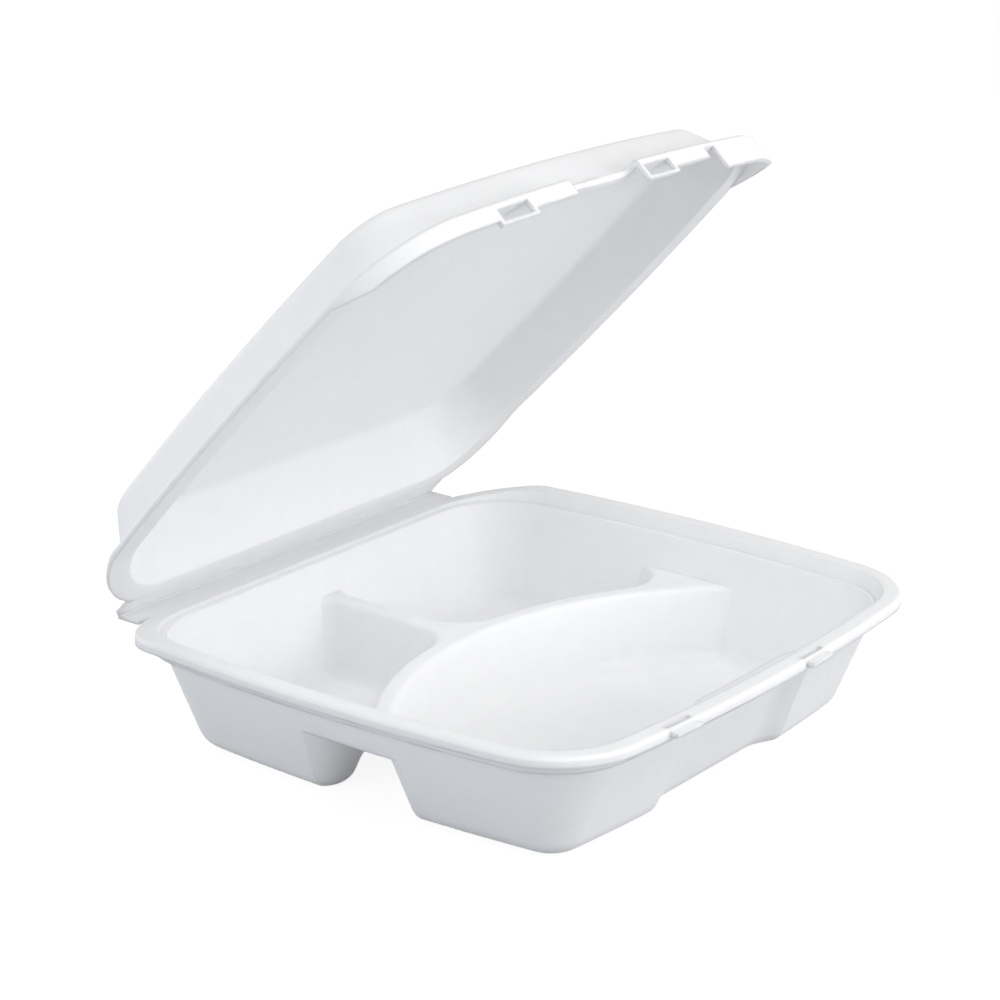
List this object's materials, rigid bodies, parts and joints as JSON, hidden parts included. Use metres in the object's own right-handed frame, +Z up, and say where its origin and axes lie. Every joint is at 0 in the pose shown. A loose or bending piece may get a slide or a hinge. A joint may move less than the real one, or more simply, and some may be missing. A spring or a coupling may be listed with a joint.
{
  "type": "foam clamshell container",
  "caption": "White foam carry-out box with a compartmented tray, hollow dividers, a stepped rim and a hinged lid that latches over tongues at the front.",
  "frame": {"origin": "underside of the large compartment's floor, below the middle of the rim", "axes": "+Z up, +X along the hinge, +Y from the latch edge towards the hinge"},
  "size_m": [0.203, 0.1928, 0.178],
  "materials": {
    "foam": "matte formed foam sheet"
  },
  "bodies": {
    "tray": {"tray": "foam"},
    "lid": {"lid": "foam"}
  },
  "joints": [
    {"name": "lid_hinge", "type": "hinge", "parent": "tray", "child": "lid", "pos_m": [0, 0.09525, 0.03465], "axis": [-1, 0, 0], "range_deg": [-47, 133]}
  ]
}
